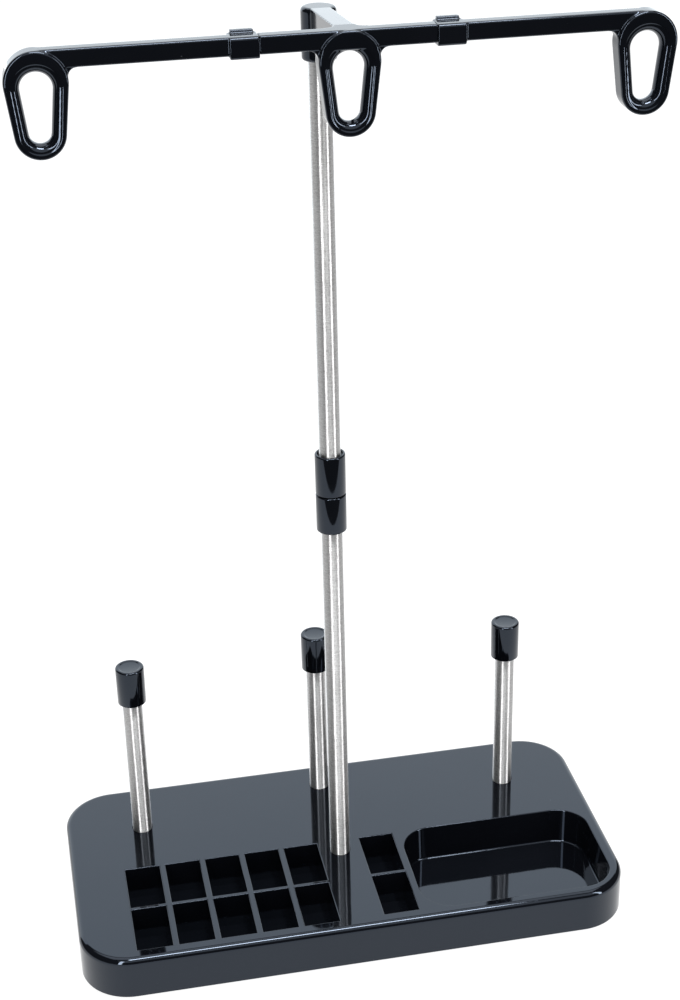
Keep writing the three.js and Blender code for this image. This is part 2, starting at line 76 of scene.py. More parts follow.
CAP_LIP, CAP_SLOPE, CAP_SETTLE = (0.12, 0.04), (0.38, 0.03), 0.55   # steps from the ledge into the dish
SPIGOT_RADIUS, SPIGOT_BORE, SPIGOT_LENGTH, THREAD_PITCH, THREAD_DEPTH = 4.35, 3.1, 7.0, 1.5, 0.32
COLLAR_ROUND, NUT_LIP, NUT_FLANGE, NUT_ROUND = 0.45, 1.0, 5.2, 0.55
NUT_RIM, NUT_BEVEL, NUT_BEVEL_DROP, NUT_THROAT, NUT_THROAT_DROP = 0.8, 1.0, 0.3, 0.25, 0.2
THREAD_CREST, THREAD_SLOPE = 1.6, 3.6
THREAD_FADE_START, THREAD_FADE_END, THREAD_FADE = 0.5, 0.4, 0.8
THREAD_STEPS, THREAD_SIDES = 84, 96
BAR_HEIGHT, BAR_DEPTH, BAR_EDGE = 5.4, 5.1, 0.7
HUB_RADIUS, HUB_LENGTH, HUB_SOCKET, HUB_ROUND, HUB_FOOT = 5.6, 16.5, 12.5, 1.3, 0.9
ARM_WIDTH, ARM_ROOT, ARM_FLARE = 6.4, 10.0, 3.2
ARM_IN_HUB, ARM_IN_BAR, ARM_TOE = 2, 1, 6
SOCKET_INNER, SOCKET_OUTER, SOCKET_DROP, SOCKET_PROUD = 25.5, 34.3, 1.0, 0.45
SOCKET_EDGE = 1.1
TAB_RISE, TAB_DEPTH, TAB_INSET, TAB_EDGE, TAB_SET_BACK, TAB_ROOT = 0.9, 2.6, 0.9, 0.4, 0.3, 2
TONGUE_INSET, TONGUE_EDGE, TONGUE_SHORT = 1.2, 0.3, 1.5
LOOP_SPACING, LOOP_DEPTH, LOOP_LIP, LOOP_EDGE, LOOP_STEP = 88.9, 6.8, 2.5, 0.8, 0.3
LOOP_RIM = {"top": -9.15, "top_radius": 9.15, "bottom": -23.45, "bottom_radius": 7.4}
LOOP_HOLE = {"top": -10.85, "top_radius": 4.6, "bottom": -23.45, "bottom_radius": 3.2}
CORNER_WEB, WEB_OVERLAP, WEB_RISE, WEB_INSET = 2.6, 1.6, 0.6, 0.3
BRIDGE_OVERLAP, BRIDGE_DROP, RAIL_OVERLAP = 1, 0.2, 1
SEAM = 0.05                              # what is left open where the arms are pushed home
CORNER_ANGLE = 35                        # sharper corners than this many degrees stay sharp
GUIDE_VOXEL, SMOOTHING_ROUNDS = 0.24, 5


def box_of(node):
    """A CAD node's lowest and highest corners, in millimetres."""
    low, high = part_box(node)
    return low / MM, high / MM


def axis_of(node):
    """Where a round upright node's axis stands."""
    low, high = box_of(node)
    return (low.x + high.x) / 2, (low.y + high.y) / 2


# ------------------------------------------------------------------ mesh tools

def new_object(name, points, faces):
    mesh = bpy.data.meshes.new(name)
    mesh.from_pydata([[c * MM for c in point] for point in points], [], faces)
    tidy = bmesh.new()
    tidy.from_mesh(mesh)
    bmesh.ops.remove_doubles(tidy, verts=tidy.verts, dist=SAME_POINT)
    bmesh.ops.recalc_face_normals(tidy, faces=tidy.faces)
    tidy.to_mesh(mesh)
    tidy.free()
    made = bpy.data.objects.new(name, mesh)
    bpy.context.scene.collection.objects.link(made)
    return made


def stacked(name, rings):
    """A closed body through a stack of rings that have the same number of points."""
    count = len(rings[0])
    points = [point for ring in rings for point in ring]
    faces = [list(range(count)), list(range(len(points) - count, len(points)))]
    for level in range(len(rings) - 1):
        start = level * count
        for i in range(count):
            j = (i + 1) % count
            faces.append([start + i, start + j, start + count + j, start + count + i])
    return new_object(name, points, faces)


def looped(name, rings):
    """A closed ring-shaped body: the last ring joins the first."""
    count, total = len(rings[0]), len(rings)
    points = [point for ring in rings for point in ring]
    faces = []
    for level in range(total):
        start, following = level * count, ((level + 1) % total) * count
        for i in range(count):
            j = (i + 1) % count
            faces.append([start + i, start + j, following + j, following + i])
    return new_object(name, points, faces)


def arc(centre_a, centre_b, radius, start, end, steps):
    """Points on an arc in a plane, from one angle in degrees to another."""
    angles = [math.radians(start + (end - start) * i / steps) for i in range(steps + 1)]
    return [(centre_a + radius * math.cos(t), centre_b + radius * math.sin(t)) for t in angles]


def turned(name, axis, profile, sides=96):
    """A body turned about an upright axis, from a closed profile of (radius, height)."""
    rings = []
    for i in range(sides):
        turn = 2 * math.pi * i / sides
        x, y = math.cos(turn), math.sin(turn)
        rings.append([(axis[0] + r * x, axis[1] + r * y, z) for r, z in profile])
    return looped(name, rings)


def rounded_outline(width, depth, radius, steps=14):
    w, d = width / 2 - radius, depth / 2 - radius
    corners = [(w, d, 0), (-w, d, 90), (-w, -d, 180), (w, -d, 270)]
    return [p for x, y, a in corners for p in arc(x, y, radius, a, a + 90, steps)]


def block(name, low, high):
    (x0, y0, z0), (x1, y1, z1) = low, high
    return stacked(name, [[(x0, y0, z), (x1, y0, z), (x1, y1, z), (x0, y1, z)] for z in (z0, z1)])


def post(name, axis, radius, z0, z1, sides=64):
    circle = arc(axis[0], axis[1], radius, 0, 360 - 360 / sides, sides - 1)
    return stacked(name, [[(x, y, z) for x, y in circle] for z in (z0, z1)])


def upright(name, outline, y0, y1):
    """A flat shape drawn in X and Z, given thickness along Y."""
    return stacked(name, [[(x, y, z) for x, z in outline] for y in (y0, y1)])


def bar(name, x0, x1, front, back, bottom, top, edge):
    """A bar along X with rounded edges."""
    outline = rounded_outline(back - front, top - bottom, edge, 4)
    middle_y, middle_z = (front + back) / 2, (top + bottom) / 2
    return stacked(name, [[(x, middle_y + a, middle_z + b) for a, b in outline] for x in (x0, x1)])


def settle_modifiers(made):
    graph = bpy.context.evaluated_depsgraph_get()
    mesh = bpy.data.meshes.new_from_object(made.evaluated_get(graph))
    made.modifiers.clear()
    old, made.data = made.data, mesh
    bpy.data.meshes.remove(old)


def combined(operation, made, others):
    for other in others:
        step = made.modifiers.new("combine", "BOOLEAN")
        step.operation = operation
        step.solver = "EXACT"
        step.object = other
        settle_modifiers(made)
        bpy.data.objects.remove(other)
    return made


def joined(made, *others):
    return combined("UNION", made, others)


def cut(made, *others):
    return combined("DIFFERENCE", made, others)


def common(made, *others):
    return combined("INTERSECT", made, others)


def smooth_faces(made):
    made.data.polygons.foreach_set("use_smooth", [True] * len(made.data.polygons))
    made.data.update()


def crisp(made):
    """Keeps a piece's real corners sharp under smooth shading."""
    shape = bmesh.new()
    shape.from_mesh(made.data)
    for edge in shape.edges:
        if len(edge.link_faces) == 2 and edge.calc_face_angle(0) > math.radians(CORNER_ANGLE):
            edge.smooth = False
    shape.to_mesh(made.data)
    shape.free()
    return made


def flat_light(made):
    """Keeps the flat faces flat in the light beside their rounded edges."""
    smooth_faces(made)
    crisp(made)
    flat = made.modifiers.new("flat faces", "WEIGHTED_NORMAL")
    flat.mode = "FACE_AREA"
    flat.weight = 100
    flat.keep_sharp = True
    settle_modifiers(made)


def melt(made):
    """Remeshes a joined body finely and lets its corners flow, as moulded plastic does."""
    remesh = made.modifiers.new("even", "REMESH")
    remesh.mode = "VOXEL"
    remesh.voxel_size = GUIDE_VOXEL * MM
    settle_modifiers(made)
    soften = made.modifiers.new("soften", "SMOOTH")
    soften.factor = 0.5
    soften.iterations = SMOOTHING_ROUNDS
    settle_modifiers(made)
    smooth_faces(made)


# ------------------------------------------------------------------ base

rods = {
    "pole": axis_of("pole_lower_tube"),
    "left": axis_of("left_pin_tube"),
    "middle": axis_of("middle_pin_tube"),
    "right": axis_of("right_pin_tube"),
}
FEET = ("front_left", "front_right", "rear_left", "rear_right")
tube_low, tube_high = box_of("left_pin_tube")
TUBE_RADIUS = (tube_high.x - tube_low.x) / 2
base_low, base_high = box_of("base_shell")
BASE_TOP = base_high.z
openings = {row["name"]: row["box_m"] for row in frame["record"]["physics"]["openings"]}


def pocket_boxes():
    """Each bobbin pocket's left, front, right, back and floor."""
    found = []
    for name, (low, high) in openings.items():
        if name.startswith("bobbin_pocket"):
            x0, y0, floor = (value / MM - OPENING_MARGIN for value in low)
            x1, y1 = (value / MM + OPENING_MARGIN for value in high[:2])
            found.append((x0, y0, x1, y1, floor))
    return found


def base_outside():
    width, depth = base_high.x - base_low.x, base_high.y - base_low.y
    foot = BASE_FOOT
    levels = [(foot * (1 - s), base_low.z + foot * (1 - c)) for s, c in
              ((math.sin(t), math.cos(t)) for t in (0, math.pi / 4, math.pi / 2))]
    levels += [(BASE_EDGE - r, z) for r, z in arc(0, BASE_TOP - BASE_EDGE, BASE_EDGE, 0, 90, 9)]
    rings = []
    for inset, z in levels:
        outline = rounded_outline(width - 2 * inset, depth - 2 * inset, BASE_CORNER - inset, 22)
        rings.append([(x, y, z) for x, y in outline])
    return stacked("base_shell_fine", rings)


def rim_levels():
    """A rounded rim, as (inset, height) up a hollow's wall."""
    return arc(-RIM_ROUND, BASE_TOP - RIM_ROUND, RIM_ROUND, 0, 90, 5)


def pocket_hollow(x0, y0, x1, y1, floor):
    levels = [(POCKET_DRAFT, floor), *rim_levels(), (-RIM_ROUND, BASE_TOP + CUT_OVER)]
    return stacked("pocket", [
        [(x0 + d, y0 + d, z), (x1 - d, y0 + d, z), (x1 - d, y1 - d, z), (x0 + d, y1 - d, z)]
        for d, z in levels
    ])


def tray_body(name, grow, floor, top, fillet):
    low, high = openings["tray"]
    x, y = ((low[i] + high[i]) / 2 / MM for i in (0, 1))
    levels = [(TRAY_DRAFT + fillet - r, z) for r, z in arc(0, floor + fillet, fillet, -90, 0, 6)]
    levels += [*rim_levels(), (-RIM_ROUND, top)] if top > BASE_TOP else [(0, top)]
    rings = []
    for inset, z in levels:
        out = grow - inset
        outline = rounded_outline(TRAY_WIDTH + 2 * out, TRAY_DEPTH + 2 * out, TRAY_CORNER + out, 16)
        rings.append([(x + a, y + b, z) for a, b in outline])
    return stacked(name, rings)


def ribs():
    half, bottom, top = RIB_HALF, RIB_BOTTOM, BASE_TOP - BASE_WALL / 2
    side, back = base_high.x - BASE_WALL / 2, base_high.y - BASE_WALL / 2
    pin_x, pin_y = rods["right"]
    pole_y = rods["pole"][1]
    return [
        block("rib", (-side, pin_y - half, bottom), (side, pin_y + half, top)),
        block("rib", (-half, pole_y, bottom), (half, back, top)),
        block("rib", (-pin_x - half, 0, bottom), (-pin_x + half, back, top)),
        block("rib", (pin_x - half, 0, bottom), (pin_x + half, back, top)),
    ]


def base_shell():
    shell = base_outside()
    width, depth = base_high.x - base_low.x, base_high.y - base_low.y
    inner = rounded_outline(width - 2 * BASE_WALL, depth - 2 * BASE_WALL, BASE_CORNER - BASE_WALL, 22)
    levels = (base_low.z - CUT_OVER, BASE_TOP - BASE_WALL)
    cut(shell, stacked("hollow", [[(x, y, z) for x, y in inner] for z in levels]))
    plate = BASE_TOP - BASE_WALL / 2
    over = BASE_TOP + CUT_OVER
    pockets = pocket_boxes()
    joined(shell, *ribs())
    for x0, y0, x1, y1, floor in pockets:
        low = (x0 - POCKET_WALL, y0 - POCKET_WALL, floor - POCKET_FLOOR)
        high = (x1 + POCKET_WALL, y1 + POCKET_WALL, plate)
        joined(shell, block("pocket_wall", low, high))
    tray_floor = BASE_TOP - TRAY_SINK
    joined(shell, tray_body("tray_wall", TRAY_WALL, tray_floor - TRAY_FLOOR, plate, TRAY_OUTER_FILLET))
    joined(shell, *(post("boss", axis, BOSS_RADIUS, BOSS_BOTTOM, plate) for axis in rods.values()))
    for name in ("front_left", "rear_left", "rear_right"):   # the fourth foot is under the tray's floor
        foot_low, foot_high = box_of(f"rubber_foot_{name}")
        radius = (foot_high.x - foot_low.x) / 2 + FOOT_POST_MARGIN
        joined(shell, post("foot_post", axis_of(f"rubber_foot_{name}"), radius, foot_high.z + GAP, plate))
    cut(shell, *(pocket_hollow(*pocket) for pocket in pockets))
    cut(shell, tray_body("tray_hollow", 0, tray_floor, over, TRAY_FILLET))
    cut(shell, *(post("socket", axis, TUBE_RADIUS + GAP, SOCKET_FLOOR, over) for axis in rods.values()))
    hole_bottom, hole_top = BOSS_BOTTOM - CUT_OVER, SOCKET_FLOOR + CUT_OVER
    cut(shell, *(post("screw_hole", axis, SCREW_HOLE, hole_bottom, hole_top) for axis in rods.values()))
    flat_light(shell)
    return shell


def rubber_foot(name):
    low, high = box_of(f"rubber_foot_{name}")
    radius = (high.x - low.x) / 2
    profile = [(0, high.z), (0, FOOT_DISH)]
    profile += [(radius * FOOT_DISH_INNER, FOOT_DISH), (radius * FOOT_DISH_OUTER, 0)]
    profile += arc(radius - FOOT_EDGE, FOOT_EDGE, FOOT_EDGE, -90, 0, 5) + [(radius, high.z)]
    return turned(f"rubber_foot_{name}_fine", axis_of(f"rubber_foot_{name}"), profile, 48)


# ------------------------------------------------------------------ rods

def steel_tube(node):
    low, high = box_of(node)
    outer, inner, edge = TUBE_RADIUS, TUBE_RADIUS - TUBE_WALL, TUBE_CHAMFER
    profile = [(inner, low.z), (outer - edge, low.z), (outer, low.z + edge)]
    profile += [(outer, high.z - edge), (outer - edge, high.z), (inner, high.z)]
    return turned(f"{node}_fine", axis_of(node), profile)


def pin_cap(node):
    low, high = box_of(node)
    radius, bore = (high.x - low.x) / 2, TUBE_RADIUS + GAP
    foot, dish, roof = radius - CAP_FOOT, high.z - CAP_DISH, high.z - CAP_ROOF
    profile = [(bore, low.z), (foot, low.z)] + arc(foot, low.z + CAP_FOOT, CAP_FOOT, -90, 0, 3)[1:]
    profile += arc(radius - CAP_RIM, high.z - CAP_RIM, CAP_RIM, 0, 90, 8)
    ledge = radius - CAP_RIM - CAP_LEDGE
    profile += [(ledge, high.z), (ledge - CAP_LIP[0], high.z - CAP_LIP[1])]
    profile += [(ledge - CAP_SLOPE[0], dish + CAP_SLOPE[1]), (ledge - CAP_SETTLE, dish)]
    profile += [(0, dish), (0, roof), (bore, roof)]
    return turned(f"{node}_fine", axis_of(node), profile)


# ------------------------------------------------------------------ coupling

nut_low, nut_high = box_of("pole_coupling_nut")
COUPLING_RADIUS = (nut_high.x - nut_low.x) / 2


def thread_radius(height, turn):
    """The spigot's surface: a ridge that climbs one pitch a turn and fades out at both ends."""
    phase = (height / THREAD_PITCH - turn) % 1
    ridge = min(1, max(0, THREAD_CREST - THREAD_SLOPE * abs(phase - 0.5)))
    starting = max(0, (height - THREAD_FADE_START) / THREAD_FADE)
    ending = max(0, (SPIGOT_LENGTH - THREAD_FADE_END - height) / THREAD_FADE)
    return SPIGOT_RADIUS - THREAD_DEPTH * (1 - ridge * min(1, starting, ending))


def lower_collar():
    low, high = box_of("pole_lower_collar")
    axis = axis_of("pole_lower_collar")
    radius, bore, neck = COUPLING_RADIUS, TUBE_RADIUS + GAP, high.z - SPIGOT_LENGTH
    stop = box_of("pole_lower_tube")[1].z + GAP
    skirt = [(bore, low.z)] + arc(radius - COLLAR_ROUND, low.z + COLLAR_ROUND, COLLAR_ROUND, -90, 0, 5)
    skirt += arc(radius - COLLAR_ROUND, neck - COLLAR_ROUND, COLLAR_ROUND, 0, 90, 5)
    heights = [SPIGOT_LENGTH * k / THREAD_STEPS for k in range(THREAD_STEPS + 1)]
    rings = []
    for i in range(THREAD_SIDES):
        turn = i / THREAD_SIDES
        x, y = math.cos(2 * math.pi * turn), math.sin(2 * math.pi * turn)
        thread = [(thread_radius(height, turn), neck + height) for height in heights]
        profile = skirt + thread + [(SPIGOT_BORE, high.z), (SPIGOT_BORE, stop), (bore, stop)]
        rings.append([(axis[0] + r * x, axis[1] + r * y, z) for r, z in profile])
    return looped("pole_lower_collar_fine", rings)


def coupling_nut():
    radius, low, high = COUPLING_RADIUS, nut_low.z, nut_high.z
    thread, bore, flange = SPIGOT_RADIUS + GAP, TUBE_RADIUS + GAP, nut_high.z - NUT_FLANGE
    profile = [(thread, low)] + arc(radius - COLLAR_ROUND, low + COLLAR_ROUND, COLLAR_ROUND, -90, 0, 5)
    profile += arc(radius - NUT_ROUND, high - NUT_ROUND, NUT_ROUND, 0, 90, 6)
    profile += [(radius - NUT_RIM, high), (radius - NUT_BEVEL, high - NUT_BEVEL_DROP)]
    profile += [(bore + NUT_THROAT, high - NUT_LIP), (bore, high - NUT_LIP - NUT_THROAT_DROP)]
    profile += [(bore, flange), (thread, flange)]
    return turned("pole_coupling_nut_fine", axis_of("pole_coupling_nut"), profile)


# ------------------------------------------------------------------ thread guide

head_low, head_high = box_of("guide_head")
HEAD_TOP = head_high.z
HUB_BOTTOM = box_of("pole_upper_tube")[1].z + GAP - HUB_SOCKET
HUB_TOP = HUB_BOTTOM + HUB_LENGTH
LOOP_FRONT = head_low.y
LOOP_BACK = LOOP_FRONT + LOOP_DEPTH
LOOP_MIDDLE = (LOOP_FRONT + LOOP_BACK) / 2
BAR_FRONT, BAR_BACK = LOOP_MIDDLE - BAR_DEPTH / 2, LOOP_MIDDLE + BAR_DEPTH / 2
BAR_BOTTOM = HEAD_TOP - BAR_HEIGHT
HUB_AXIS = rods["pole"]


def loop_outline(shape, inset=0.0):
    """Two arcs joined by tapering sides, drawn in X and Z from the bar's top."""
    top, bottom = shape["top_radius"] - inset, shape["bottom_radius"] - inset
    taper = math.degrees(math.asin((top - bottom) / (shape["top"] - shape["bottom"])))
    upper = arc(0, shape["top"], top, -taper, 180 + taper, 60)
    return upper + arc(0, shape["bottom"], bottom, 180 + taper, 360 - taper, 40)


def loop_section(width):
    """From the hole outwards as (distance, depth): a bullnose lip, a fine step, then the flat band."""
    half, step = LOOP_DEPTH / 2, LOOP_STEP
    nose = [(LOOP_LIP * (1 - math.cos(t)), (half - step) * math.sin(t)) for t in
            (math.radians(90 - 180 * i / 20) for i in range(21))]
    front = arc(width - LOOP_EDGE, -half + LOOP_EDGE, LOOP_EDGE, -90, 0, 6)
    back = arc(width - LOOP_EDGE, half - LOOP_EDGE, LOOP_EDGE, 0, 90, 6)
    return nose + [(LOOP_LIP + step, -half)] + front + back + [(LOOP_LIP + step, half)]


def loop_ring(x):
    rings = []
    for (hole_x, hole_z), (rim_x, rim_z) in zip(loop_outline(LOOP_HOLE), loop_outline(LOOP_RIM)):
        across = Vector((rim_x - hole_x, rim_z - hole_z))
        out = across.normalized()
        rings.append([
            (x + hole_x + out.x * a, LOOP_MIDDLE + depth, HEAD_TOP + hole_z + out.y * a)
            for a, depth in loop_section(across.length)
        ])
    return looped("loop", rings)


def loop_disc(x, inset=0.0):
    outline = [(x + a, HEAD_TOP + b) for a, b in loop_outline(LOOP_RIM, inset)]
    return upright("disc", outline, LOOP_FRONT, LOOP_BACK)


def loop_bridge(x):
    """The crossbar carries on through the middle loop at the loop's own depth."""
    half, bottom = LOOP_RIM["top_radius"] + BRIDGE_OVERLAP, BAR_BOTTOM - BRIDGE_DROP
    bridge = bar("bridge", x - half, x + half, LOOP_FRONT, LOOP_BACK, bottom, HEAD_TOP, LOOP_EDGE)
    return common(bridge, loop_disc(x))


def corner_web(x, side):
    """A concave web in the corner between the bar's underside and a loop's rim."""
    outer, radius = LOOP_RIM["top_radius"], CORNER_WEB
    drop = BAR_HEIGHT + radius + LOOP_RIM["top"]
    reach = math.sqrt((outer + radius) ** 2 - drop ** 2)
    centre_z = BAR_BOTTOM - radius
    share = outer / (outer + radius)
    touch_z = HEAD_TOP + LOOP_RIM["top"] - drop * share
    end = math.degrees(math.atan2(touch_z - centre_z, reach * share - reach)) % 360
    inside, ceiling = outer - WEB_OVERLAP, BAR_BOTTOM + WEB_RISE
    points = [(inside, ceiling), (reach, ceiling)]
    points += arc(reach, centre_z, radius, 90, end, 10) + [(inside, touch_z)]
    outline = [(x + side * a, b) for a, b in points]
    return upright("web", outline, BAR_FRONT + WEB_INSET, BAR_BACK - WEB_INSET)


def hub():
    bottom, foot = HUB_BOTTOM, HUB_FOOT
    profile = [(0, bottom), (HUB_RADIUS - foot, bottom)]
    profile += arc(HUB_RADIUS - foot, bottom + foot, foot, -90, 0, 6)[1:]
    profile += arc(HUB_RADIUS - HUB_ROUND, HUB_TOP - HUB_ROUND, HUB_ROUND, 0, 90, 8) + [(0, HUB_TOP)]
    return turned("hub", HUB_AXIS, profile)


def hub_arm():
    """Deep at the hub, rising slightly to the bar, flared in plan where it meets the bar."""
    half, root, end = ARM_WIDTH / 2, HUB_AXIS[1] - HUB_RADIUS + ARM_IN_HUB, BAR_BACK - ARM_IN_BAR
    side = [(root, HUB_TOP - ARM_ROOT), (root, HUB_TOP), (end, HEAD_TOP), (end, BAR_BOTTOM)]
    side += [(BAR_BACK + ARM_TOE, BAR_BOTTOM)]
    arm = stacked("arm", [[(x, y, z) for y, z in side] for x in (-half, half)])
    plan = [(-half - ARM_FLARE, end), (half + ARM_FLARE, end)]
    plan += arc(half + ARM_FLARE, BAR_BACK + ARM_FLARE, ARM_FLARE, -90, -180, 10)
    plan += arc(-half - ARM_FLARE, BAR_BACK + ARM_FLARE, ARM_FLARE, 0, -90, 10)
    flare = stacked("flare", [[(x, y, z) for x, y in plan] for z in (BAR_BOTTOM, HEAD_TOP)])
    return joined(arm, flare)


def tongue(x0, x1, clearance=0.0):
    inset = TONGUE_INSET - clearance
    front, back, bottom, top = BAR_FRONT + inset, BAR_BACK - inset, BAR_BOTTOM + inset, HEAD_TOP - inset
    return bar("tongue", x0, x1, front, back, bottom, top, TONGUE_EDGE)


def guide_head():
    mouth = SOCKET_INNER + GAP - SEAM
    head = bar("guide_head_fine", -mouth, mouth, BAR_FRONT, BAR_BACK, BAR_BOTTOM, HEAD_TOP, BAR_EDGE)
    reach = SOCKET_OUTER - TONGUE_SHORT
    joined(head, hub_arm(), hub(), loop_ring(0), loop_bridge(0), corner_web(0, -1), corner_web(0, 1))
    joined(head, tongue(-reach, reach))
    socket_radius, socket_bottom = TUBE_RADIUS + GAP, HUB_BOTTOM - CUT_OVER
    cut(head, post("pole_socket", HUB_AXIS, socket_radius, socket_bottom, HUB_BOTTOM + HUB_SOCKET))
    melt(head)
    return head


def side_arm(name, side):
    def span(a, b):
        return min(side * a, side * b), max(side * a, side * b)

    loop_x = side * LOOP_SPACING
    mouth = SOCKET_INNER + GAP
    back = BAR_BACK + TAB_DEPTH
    arm = bar(f"{name}_fine", *span(mouth, SOCKET_OUTER), BAR_FRONT - SOCKET_PROUD, back,
              BAR_BOTTOM - SOCKET_DROP, HEAD_TOP, SOCKET_EDGE)
    tab = bar("tab", *span(mouth + TAB_INSET, SOCKET_OUTER - TAB_INSET), BAR_BACK + TAB_SET_BACK, back,
              HEAD_TOP - TAB_ROOT, HEAD_TOP + TAB_RISE, TAB_EDGE)
    rail_span = span(SOCKET_OUTER - RAIL_OVERLAP, LOOP_SPACING)
    rail = bar("rail", *rail_span, BAR_FRONT, BAR_BACK, BAR_BOTTOM, HEAD_TOP, BAR_EDGE)
    cut(rail, loop_disc(loop_x, RAIL_OVERLAP))
    joined(arm, tab, rail, loop_ring(loop_x), corner_web(loop_x, -side))
    cut(arm, tongue(*span(mouth - CUT_OVER, SOCKET_OUTER - TONGUE_SHORT + GAP), GAP))
    melt(arm)
    return arm


# ------------------------------------------------------------------ materials

class Finish:
    """One procedural material, built node by node in the object's own coordinates."""

    def __init__(self, name):
        self.material = bpy.data.materials.new(name)
        self.material.use_nodes = True
        self.tree = self.material.node_tree
        self.shader = self.tree.nodes["Principled BSDF"]
        coordinates = self.tree.nodes.new("ShaderNodeTexCoord")
        self.place = coordinates.outputs["Object"]

    def link(self, source, target):
        self.tree.links.new(source, target)

    def stretched(self, scale):
        mapping = self.tree.nodes.new("ShaderNodeMapping")
        mapping.inputs["Scale"].default_value = scale
        self.link(self.place, mapping.inputs["Vector"])
        return mapping.outputs["Vector"]

    def noise(self, scale, detail=3.0, roughness=0.5, vector=None):
        node = self.tree.nodes.new("ShaderNodeTexNoise")
        node.inputs["Scale"].default_value = scale
        node.inputs["Detail"].default_value = detail
        node.inputs["Roughness"].default_value = roughness
        self.link(vector or self.place, node.inputs["Vector"])
        return node.outputs["Fac"]

    def ramp(self, value, stops):
        node = self.tree.nodes.new("ShaderNodeValToRGB")
        ramp = node.color_ramp
        ramp.elements[0].position, ramp.elements[0].color = stops[0][0], (*stops[0][1], 1)
        ramp.elements[1].position, ramp.elements[1].color = stops[-1][0], (*stops[-1][1], 1)
        for position, colour in stops[1:-1]:
            ramp.elements.new(position).color = (*colour, 1)
        self.link(value, node.inputs["Fac"])
        return node.outputs["Color"]

    def spread(self, value, low, high, start=0.0, end=1.0):
        node = self.tree.nodes.new("ShaderNodeMapRange")
        node.inputs["From Min"].default_value = start
        node.inputs["From Max"].default_value = end
        node.inputs["To Min"].default_value = low
        node.inputs["To Max"].default_value = high
        self.link(value, node.inputs["Value"])
        return node.outputs["Result"]

    def maths(self, operation, a, b):
        node = self.tree.nodes.new("ShaderNodeMath")
        node.operation = operation
        for value, socket in ((a, node.inputs[0]), (b, node.inputs[1])):
            if isinstance(value, (int, float)):
                socket.default_value = value
            else:
                self.link(value, socket)
        return node.outputs["Value"]

    def bump(self, height, distance, strength=1.0):
        node = self.tree.nodes.new("ShaderNodeBump")
        node.inputs["Distance"].default_value = distance
        node.inputs["Strength"].default_value = strength
        self.link(height, node.inputs["Height"])
        self.link(node.outputs["Normal"], self.shader.inputs["Normal"])

    def fixed(self, **values):
        for name, value in values.items():
            self.shader.inputs[name.replace("_", " ")].default_value = value


def gloss_plastic(name, smear, dark, light):
    """Black moulded plastic: faint flow in the colour, a film of handling, a few specks of dust."""
    finish = Finish(name)
    flow = finish.noise(22, 4, 0.55)
    film = finish.noise(70, 5, 0.6)
    grain = finish.noise(2600, 2, 0.5)
    dust = finish.maths("GREATER_THAN", finish.noise(900, 2, 0.65), 0.795)
    base = finish.ramp(flow, [(0.3, dark), (0.7, light)])
    mix = finish.tree.nodes.new("ShaderNodeMix")
    mix.data_type = "RGBA"
    mix.inputs["B"].default_value = (0.06, 0.064, 0.07, 1)
    finish.link(finish.maths("MULTIPLY", dust, 0.5), mix.inputs["Factor"])
    finish.link(base, mix.inputs["A"])
    finish.link(mix.outputs["Result"], finish.shader.inputs["Base Color"])
    rough = finish.spread(film, smear[0], smear[1], 0.3, 0.75)
    dusty = finish.maths("ADD", rough, finish.maths("MULTIPLY", dust, 0.3))
    finish.link(dusty, finish.shader.inputs["Roughness"])
    height = finish.maths("ADD", finish.maths("MULTIPLY", flow, 0.9), finish.maths("MULTIPLY", grain, 0.012))
    finish.bump(height, 0.00018, 0.35)
    finish.fixed(IOR=1.52, Specular_Tint=(0.66, 0.79, 1.0, 1.0), Specular_IOR_Level=0.5)
    return finish.material


def brushed_steel():
    """Satin tube: fine scratches round the tube, a slow change of tone along it, bright grains."""
    finish = Finish("brushed_steel")
    rings = finish.noise(900, 3, 0.6, finish.stretched((0.6, 0.6, 5.0)))
    grains = finish.noise(2400, 2, 0.6)
    tone = finish.noise(45, 3, 0.5)
    mixed = finish.maths("ADD", finish.maths("MULTIPLY", rings, 0.45), finish.maths("MULTIPLY", grains, 0.35))
    mixed = finish.maths("ADD", mixed, finish.maths("MULTIPLY", tone, 0.2))
    tones = [(0.34, (0.45, 0.447, 0.443)), (0.5, (0.71, 0.707, 0.702)), (0.66, (0.93, 0.93, 0.93))]
    colour = finish.ramp(mixed, tones)
    finish.link(colour, finish.shader.inputs["Base Color"])
    finish.link(finish.spread(mixed, 0.38, 0.5, 0.35, 0.65), finish.shader.inputs["Roughness"])
    finish.bump(mixed, 0.00006, 0.5)
    tangent = finish.tree.nodes.new("ShaderNodeTangent")
    tangent.direction_type = "RADIAL"
    tangent.axis = "Z"
    finish.link(tangent.outputs["Tangent"], finish.shader.inputs["Tangent"])
    finish.fixed(Metallic=1.0, Anisotropic=1.0, Anisotropic_Rotation=0.25)
    return finish.material


def zinc_steel():
    finish = Finish("zinc_steel")
    spangle = finish.noise(420, 4, 0.6)
    finish.link(finish.ramp(spangle, [(0.35, (0.42, 0.43, 0.44)), (0.65, (0.66, 0.67, 0.68))]),
                finish.shader.inputs["Base Color"])
    finish.link(finish.spread(spangle, 0.28, 0.5, 0.3, 0.7), finish.shader.inputs["Roughness"])
    finish.bump(spangle, 0.00005, 0.4)
    finish.fixed(Metallic=1.0)
    return finish.material


def nylon():
    finish = Finish("grey_nylon")
    cloud = finish.noise(160, 4, 0.55)
    finish.link(finish.ramp(cloud, [(0.3, (0.15, 0.155, 0.165)), (0.7, (0.24, 0.245, 0.255))]),
                finish.shader.inputs["Base Color"])
    finish.link(finish.spread(cloud, 0.42, 0.58, 0.3, 0.7), finish.shader.inputs["Roughness"])
    finish.bump(finish.noise(1500, 2), 0.00004, 0.4)
    return finish.material


